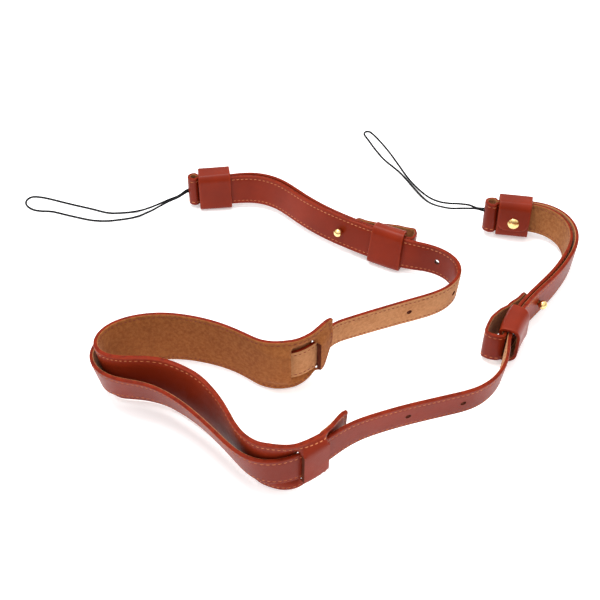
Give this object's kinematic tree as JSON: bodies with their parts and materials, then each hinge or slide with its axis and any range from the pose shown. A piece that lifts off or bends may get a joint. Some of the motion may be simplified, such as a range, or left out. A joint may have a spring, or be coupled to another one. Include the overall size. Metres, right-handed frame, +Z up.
{
  "type": "camera shoulder strap",
  "caption": "Long stitched leather shoulder strap with a sliding shoulder pad, doubled end straps in keepers, ball studs, rivets and a cord loop at each end.",
  "frame": {"origin": "middle of the strap's outline on the surface that it stands on, without its cords", "axes": "+X to the right along the longest extent, +Y away from the viewer, +Z up from the surface"},
  "size_m": [0.3759, 0.3338, 0.043],
  "materials": {
    "strap_leather": "semi-gloss",
    "end_leather": "semi-gloss",
    "pad_leather": "semi-gloss",
    "brass": "polished",
    "cord": "matte"
  },
  "bodies": {
    "root": {"main_strap": "strap_leather", "shoulder_pad": "pad_leather", "left_end_strap": "end_leather", "right_end_strap": "end_leather", "left_cord_keeper": "strap_leather", "right_cord_keeper": "strap_leather", "left_slide_keeper": "strap_leather", "right_slide_keeper": "strap_leather", "left_stud": "brass", "right_stud": "brass", "left_rivet": "brass", "right_rivet": "brass", "left_cord": "cord", "right_cord": "cord"}
  },
  "joints": []
}
